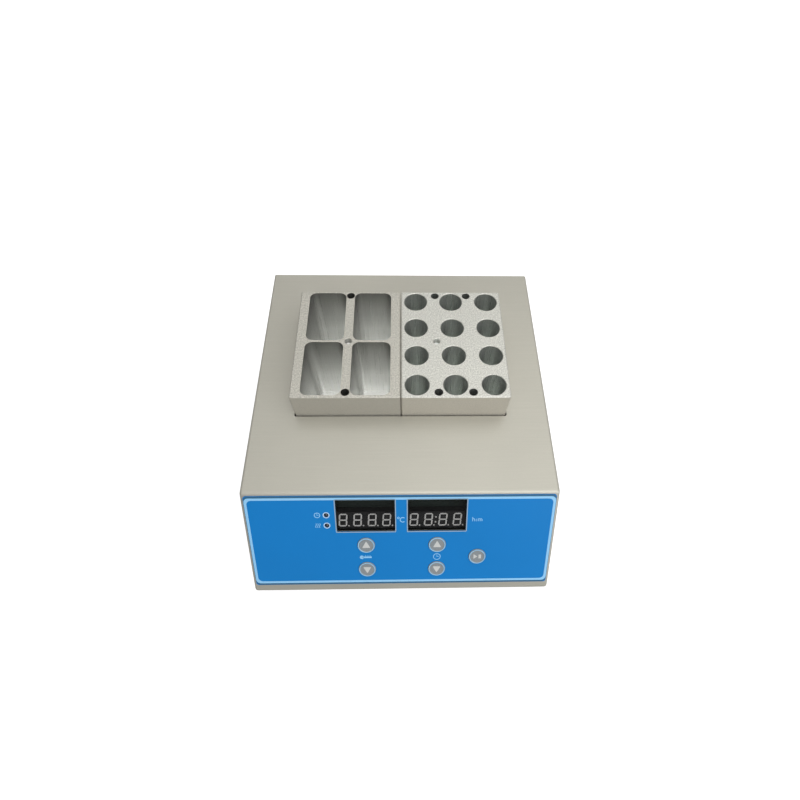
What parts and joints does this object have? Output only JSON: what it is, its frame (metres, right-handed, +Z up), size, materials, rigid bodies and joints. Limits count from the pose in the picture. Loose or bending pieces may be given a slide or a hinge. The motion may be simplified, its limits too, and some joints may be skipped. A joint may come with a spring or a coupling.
{
  "type": "dry block heater",
  "caption": "Bench dry block heater with a sloped control front and two lift-out aluminium blocks, one with tube holes and one with pockets.",
  "frame": {"origin": "bottom centre of the object's box, on the surface that the feet stand on", "axes": "+Z up, the sloped control front faces -Y, +X to the right seen from the front"},
  "size_m": [0.2198, 0.2584, 0.106],
  "materials": {
    "case_sheet": "satin warm grey sheet",
    "overlay_film": "printed blue film",
    "smoked_window": "smoked window",
    "display_face": "dark display moulding",
    "key_cap": "warm grey key",
    "lamp_lens": "small dark lamp lens",
    "switch_plastic": "black moulding",
    "board": "green board",
    "plated_steel": "plated steel",
    "tube_block_metal": "bead-blasted aluminium",
    "pocket_block_metal": "bead-blasted aluminium",
    "plain_aluminium": "machined aluminium",
    "mat_rubber": "silicone rubber",
    "fibre": "white fibre board",
    "core_steel": "varnished core",
    "terminal_green": "green moulding",
    "inlet_black": "black moulding",
    "contact_brass": "plated brass",
    "fuse_glass": "clear tube with caps",
    "wire_brown": "brown insulation",
    "wire_blue": "blue insulation",
    "wire_green": "green insulation",
    "wire_white": "white insulation",
    "ribbon_grey": "grey ribbon",
    "foot_rubber": "black rubber"
  },
  "bodies": {
    "case": {"top_cover": "case_sheet", "base_pan": "case_sheet", "rear_panel": "case_sheet", "panel_overlay": "overlay_film", "key_switches": "switch_plastic", "lamp_spacers": "switch_plastic", "control_board": "board", "control_standoffs": "plated_steel", "control_screws": "plated_steel", "ribbon_headers": "switch_plastic", "ribbon_cable": "ribbon_grey", "well_liner": "plated_steel", "heater_plate": "plain_aluminium", "heater_mat": "mat_rubber", "clamp_plate": "plated_steel", "insulation_board": "fibre", "insulation_collar": "fibre", "heater_posts": "plated_steel", "heater_screws": "plated_steel", "thermal_cutout": "plated_steel", "sensor_probe": "plated_steel", "sensor_lead": "wire_white", "sensor_plug": "switch_plastic", "heater_leads": "wire_white", "power_board": "board", "power_standoffs": "plated_steel", "power_screws": "plated_steel", "transformer": "core_steel", "heatsink": "plain_aluminium", "triac": "switch_plastic", "terminal_block": "terminal_green", "capacitors": "plain_aluminium", "inlet_housing": "inlet_black", "inlet_blades": "contact_brass", "inlet_screws": "plated_steel", "earth_stud": "plated_steel", "earth_lead": "wire_green", "live_lead": "wire_brown", "neutral_lead": "wire_blue", "rubber_feet": "foot_rubber", "foot_screws": "plated_steel", "cover_screws": "plated_steel", "rear_screws": "plated_steel", "timing_lamp": "lamp_lens", "heating_lamp": "lamp_lens", "temp_window": "smoked_window", "temp_display": "display_face", "time_window": "smoked_window", "time_display": "display_face"},
    "pocket_block": {"pocket_block": "pocket_block_metal"},
    "tube_block": {"tube_block": "tube_block_metal"},
    "temp_up_key": {"temp_up_key": "key_cap"},
    "temp_down_key": {"temp_down_key": "key_cap"},
    "time_up_key": {"time_up_key": "key_cap"},
    "time_down_key": {"time_down_key": "key_cap"},
    "start_key": {"start_key": "key_cap"},
    "rocker": {"rocker": "inlet_black"},
    "fuse_drawer": {"fuse_drawer": "inlet_black", "fuse": "fuse_glass"}
  },
  "joints": [
    {"name": "pocket_block_lift", "type": "slide", "parent": "case", "child": "pocket_block", "axis": [0, 0, 1], "range_m": [0, 0.08]},
    {"name": "tube_block_lift", "type": "slide", "parent": "case", "child": "tube_block", "axis": [0, 0, 1], "range_m": [0, 0.08]},
    {"name": "temp_up_key_press", "type": "slide", "parent": "case", "child": "temp_up_key", "axis": [0, 0.7607, -0.6491], "range_m": [0, 0.0005], "stiffness_N_per_m": 400},
    {"name": "temp_down_key_press", "type": "slide", "parent": "case", "child": "temp_down_key", "axis": [0, 0.7607, -0.6491], "range_m": [0, 0.0005], "stiffness_N_per_m": 400},
    {"name": "time_up_key_press", "type": "slide", "parent": "case", "child": "time_up_key", "axis": [0, 0.7607, -0.6491], "range_m": [0, 0.0005], "stiffness_N_per_m": 400},
    {"name": "time_down_key_press", "type": "slide", "parent": "case", "child": "time_down_key", "axis": [0, 0.7607, -0.6491], "range_m": [0, 0.0005], "stiffness_N_per_m": 400},
    {"name": "start_key_press", "type": "slide", "parent": "case", "child": "start_key", "axis": [0, 0.7607, -0.6491], "range_m": [0, 0.0005], "stiffness_N_per_m": 400},
    {"name": "rocker_switch", "type": "hinge", "parent": "case", "child": "rocker", "pos_m": [0.0569, 0.12192, 0.045], "axis": [-1, 0, 0], "range_deg": [0, 18]},
    {"name": "fuse_drawer_slide", "type": "slide", "parent": "case", "child": "fuse_drawer", "axis": [0, 1, 0], "range_m": [0, 0.025]}
  ]
}
